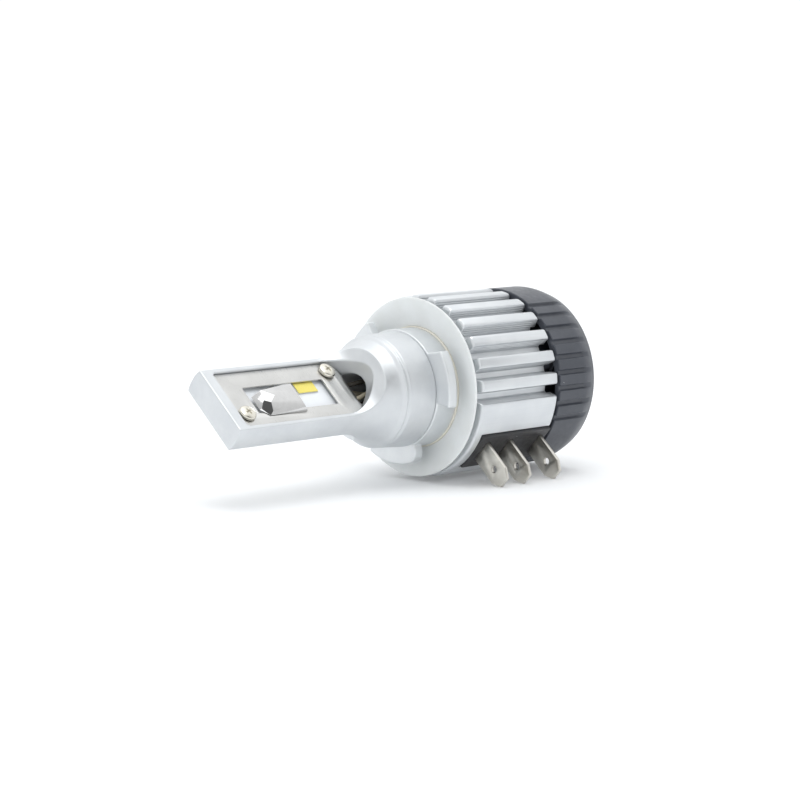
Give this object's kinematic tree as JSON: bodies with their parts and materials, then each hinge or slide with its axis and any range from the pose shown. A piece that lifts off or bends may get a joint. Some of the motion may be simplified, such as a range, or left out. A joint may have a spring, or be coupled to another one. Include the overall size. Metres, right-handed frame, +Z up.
{
  "type": "headlight bulb",
  "caption": "Replacement headlight bulb with a flat two-sided light blade, a lugged locking collar, a finned heat sink, a cooling fan and a side plug with flat blades.",
  "frame": {"origin": "centre of the footprint on the surface that the bulb lies on", "axes": "+Z up, the bulb's axis along X with the lamp tip at -X and the fan at +X; the plug blades lean 47.6 degrees from straight down towards -Y, the lamp blade's lower edge 49 degrees"},
  "size_m": [0.0902, 0.0402, 0.0385],
  "materials": {
    "cast_aluminium": "fine satin, bead blasted",
    "milky_silicone": "milky, slightly translucent",
    "brushed_steel": "brushed",
    "bright_metal": "bright plated",
    "white_board": "satin white solder mask",
    "yellow_phosphor": "matte",
    "screw_nickel": "nickel plated",
    "wire_skin": "satin",
    "plug_plastic": "fine moulded grain",
    "blade_nickel": "nickel plated brass",
    "green_board": "satin solder mask",
    "ferrite": "matte",
    "copper": "lacquered winding",
    "brass": "machined",
    "black_plastic": "satin"
  },
  "bodies": {
    "bulb": {"lamp_body": "cast_aluminium", "lock_collar": "cast_aluminium", "heatsink": "cast_aluminium", "seal_ring": "milky_silicone", "cover_plate_front": "brushed_steel", "cover_plate_back": "brushed_steel", "glare_hood_front": "bright_metal", "glare_hood_back": "bright_metal", "led_board_front": "white_board", "led_board_back": "white_board", "led_day_front": "yellow_phosphor", "led_day_back": "yellow_phosphor", "led_main_front": "yellow_phosphor", "led_main_back": "yellow_phosphor", "cover_screw_front_1": "screw_nickel", "cover_screw_front_2": "screw_nickel", "cover_screw_back_1": "screw_nickel", "cover_screw_back_2": "screw_nickel", "wire_front_1": "wire_skin", "wire_front_2": "wire_skin", "wire_back_1": "wire_skin", "wire_back_2": "wire_skin", "connector_block": "plug_plastic", "terminal_1": "blade_nickel", "terminal_2": "blade_nickel", "terminal_3": "blade_nickel", "driver_board": "green_board", "driver_coil": "ferrite", "driver_capacitor": "bright_metal", "driver_chip": "ferrite", "fan_frame": "black_plastic", "fan_bush": "brass", "fan_board": "green_board", "fan_stator": "copper", "rear_cap": "black_plastic", "cap_screw_1": "screw_nickel", "cap_screw_2": "screw_nickel", "cap_screw_3": "screw_nickel"},
    "impeller": {"fan_rotor": "black_plastic", "fan_magnet": "ferrite", "fan_shaft": "brushed_steel"}
  },
  "joints": [
    {"name": "fan_spin", "type": "hinge", "parent": "bulb", "child": "impeller", "pos_m": [0.03893, 0.0011, 0.01951], "axis": [1, 0, 0], "continuous": true}
  ]
}
